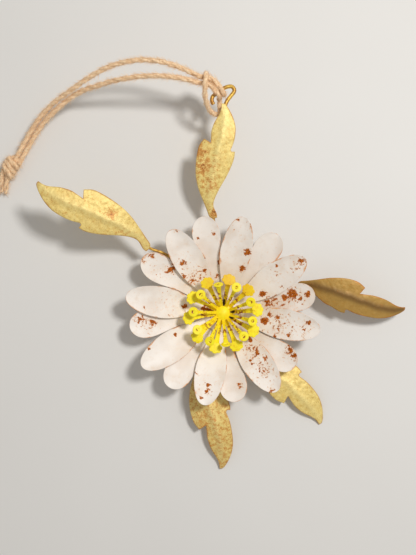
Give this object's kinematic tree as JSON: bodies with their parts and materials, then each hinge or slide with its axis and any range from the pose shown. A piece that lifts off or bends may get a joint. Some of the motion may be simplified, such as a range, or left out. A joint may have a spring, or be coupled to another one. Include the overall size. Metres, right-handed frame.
{
  "type": "hanging tin flower ornament",
  "caption": "Painted tin daisy with two petal layers, bent stamens and toothed gilt leaves on wires, hung by a knotted twine loop hitched to a wire eye.",
  "frame": {"origin": "on the rivet's axis, at the flat back face that the flower lies on", "axes": "+Z out of the flower's face, +Y towards the leaf that carries the hanging eye, +X to the right seen from the front"},
  "size_m": [0.1721, 0.1695, 0.0281],
  "materials": {
    "petal_paint": "matt warm white paint, worn to rust at rims and in specks",
    "stamen_paint": "bright yellow paint with rust specks",
    "leaf_gilt": "antique gold paint over hammered tin, with rust specks",
    "wire_gilt": "gold paint on drawn wire, rubbed brown",
    "bare_tin": "dull tin plate",
    "solder": "dull grey solder",
    "jute": "two-ply jute twine, hairy"
  },
  "bodies": {
    "ornament": {"back_plate": "bare_tin", "centre_rivet": "stamen_paint", "rear_petals": "petal_paint", "petal_washer": "bare_tin", "front_petals": "petal_paint", "stamen_washer": "stamen_paint", "outer_stamens": "stamen_paint", "stamen_collar": "stamen_paint", "inner_stamens": "stamen_paint", "hub_solder": "solder", "leaf_solder": "solder", "leaf_top": "leaf_gilt", "leaf_upper_left": "leaf_gilt", "leaf_right": "leaf_gilt", "leaf_lower_right": "leaf_gilt", "leaf_bottom": "leaf_gilt", "stem_top": "wire_gilt", "stem_upper_left": "wire_gilt", "stem_right": "wire_gilt", "stem_lower_right": "wire_gilt", "stem_bottom": "wire_gilt", "hanging_eye": "wire_gilt"},
    "hanger": {"hanger_upper": "jute", "hanger_lower": "jute", "cord_hitch": "jute", "cord_knot": "jute", "cord_tails": "jute"}
  },
  "joints": [
    {"name": "hanger_swing", "type": "hinge", "parent": "ornament", "child": "hanger", "pos_m": [-0.0018, 0.0906, 0.01907], "axis": [0.8168, 0.5769, 0], "range_deg": [0, 90]}
  ]
}
